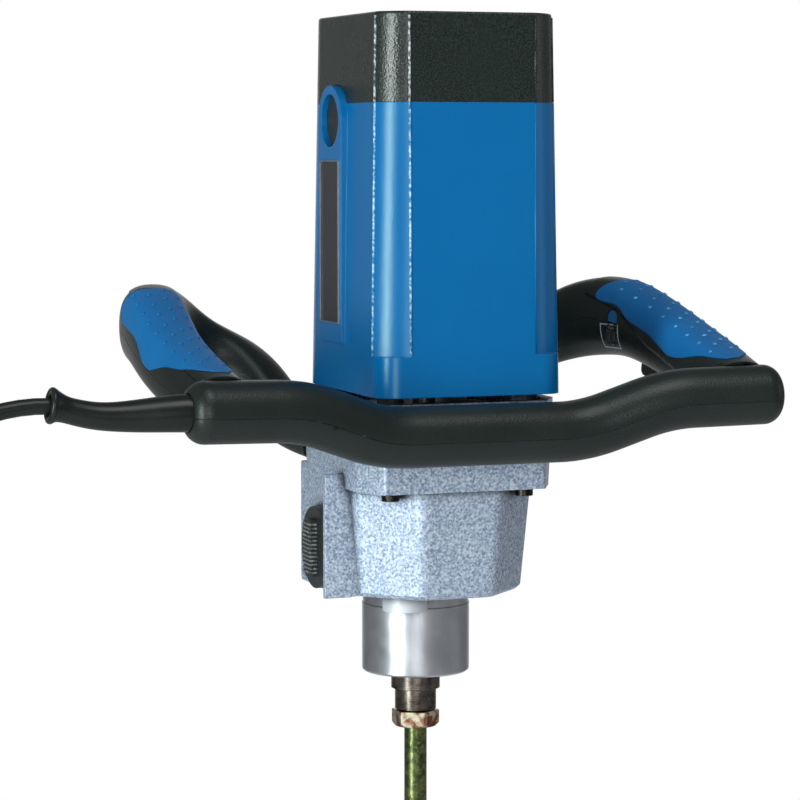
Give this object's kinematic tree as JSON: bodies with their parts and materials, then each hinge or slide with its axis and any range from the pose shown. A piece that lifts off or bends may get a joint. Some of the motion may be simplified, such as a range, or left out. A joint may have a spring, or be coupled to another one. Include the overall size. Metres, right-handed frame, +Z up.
{
  "type": "mixing drill",
  "caption": "Two-handed mixing drill: boxy motor casing on a cast gear case with a round clamping neck, looped side handles, geared spindle and wire-cage paddle.",
  "frame": {"origin": "on the spindle axis at the middle of the neck's clamping length", "axes": "+Z up along the motor, -Y towards the front bar, +X towards the hand with the trigger"},
  "size_m": [0.5729, 0.2159, 0.7461],
  "materials": {
    "blue_plastic": "fine moulded grain",
    "blue_soft_grip": "matt soft moulding with small pips",
    "black_plastic": "moulded grain",
    "label_plastic": "satin, bare",
    "cast_aluminium": "hammered silver paint",
    "machined_aluminium": "turned",
    "steel": "ground, lightly oiled",
    "zinc_steel": "yellow zinc plated",
    "core_steel": "stacked sheets",
    "copper": "lacquered",
    "brass": "drawn",
    "carbon": "dull",
    "fan_plastic": "moulded",
    "black_rubber": "smooth, slightly glossy"
  },
  "bodies": {
    "machine": {"air_guide": "black_plastic", "arm_bolts": "zinc_steel", "badge_plate": "label_plastic", "bar_bolts": "zinc_steel", "bar_nut_plate": "steel", "bearing_plate": "machined_aluminium", "brush_caps": "black_plastic", "brush_holders": "brass", "brush_springs": "steel", "carbon_brushes": "carbon", "casing_screws": "zinc_steel", "control_module": "black_plastic", "cord_coil": "black_rubber", "cord_lead": "black_rubber", "cord_sleeve": "black_rubber", "cord_tie": "black_rubber", "dial_pin": "black_plastic", "end_cap": "black_plastic", "end_cap_screws": "zinc_steel", "field_coils": "copper", "front_bar_lower": "black_plastic", "front_bar_upper": "black_plastic", "gear_case": "cast_aluminium", "idler_bearings": "steel", "left_grip_pad": "blue_soft_grip", "left_handle_lower": "black_plastic", "left_handle_upper": "black_plastic", "lower_motor_bearing": "steel", "motor_housing": "blue_plastic", "neck_collar": "machined_aluminium", "plate_screws": "zinc_steel", "plug": "black_rubber", "right_grip_pad": "blue_soft_grip", "right_handle_lower": "black_plastic", "right_handle_upper": "black_plastic", "shaft_seal": "black_rubber", "spindle_bearings": "steel", "stator_core": "core_steel", "switch_block": "black_plastic", "upper_motor_bearing": "steel"},
    "spindle": {"output_spindle": "steel", "spindle_gear": "steel", "mixing_paddle": "zinc_steel"},
    "idler": {"idler_shaft": "steel", "idler_gear": "steel"},
    "armature": {"armature_shaft": "steel", "armature_core": "core_steel", "armature_windings": "copper", "commutator": "copper", "cooling_fan": "fan_plastic"},
    "selector": {"selector_knob": "black_plastic"},
    "switch_trigger": {"trigger": "black_plastic"},
    "lock": {"lock_button": "blue_plastic"},
    "dial": {"speed_dial": "black_plastic"}
  },
  "joints": [
    {"name": "spindle_spin", "type": "hinge", "parent": "machine", "child": "spindle", "pos_m": [0, 0, 0], "axis": [0, 0, 1], "continuous": true},
    {"name": "idler_spin", "type": "hinge", "parent": "machine", "child": "idler", "pos_m": [-0.01775, -0.03218, 0], "axis": [0, 0, 1], "continuous": true},
    {"name": "armature_spin", "type": "hinge", "parent": "machine", "child": "armature", "pos_m": [0, -0.012, 0], "axis": [0, 0, 1], "continuous": true},
    {"name": "selector_turn", "type": "hinge", "parent": "machine", "child": "selector", "pos_m": [-0.055, -0.003, 0.05], "axis": [-1, 0, 0], "range_deg": [0, 180]},
    {"name": "trigger_pull", "type": "slide", "parent": "machine", "child": "switch_trigger", "axis": [0.0101, -0.235, 0.9719], "range_m": [0, 0.0045], "stiffness_N_per_m": 900, "springref_m": -0.003},
    {"name": "lock_press", "type": "slide", "parent": "machine", "child": "lock", "axis": [0.9834, 0.1814, 0], "range_m": [0, 0.002], "stiffness_N_per_m": 700, "springref_m": -0.001},
    {"name": "speed_dial_turn", "type": "hinge", "parent": "machine", "child": "dial", "pos_m": [0.12686, 0.0179, 0.15576], "axis": [0.0244, -0.1322, 0.9909], "range_deg": [-135, 135]}
  ],
  "couplings": [
    {"joint": "idler_spin", "follows": "spindle_spin", "ratio": -3.4545},
    {"joint": "armature_spin", "follows": "spindle_spin", "ratio": 15.114}
  ]
}
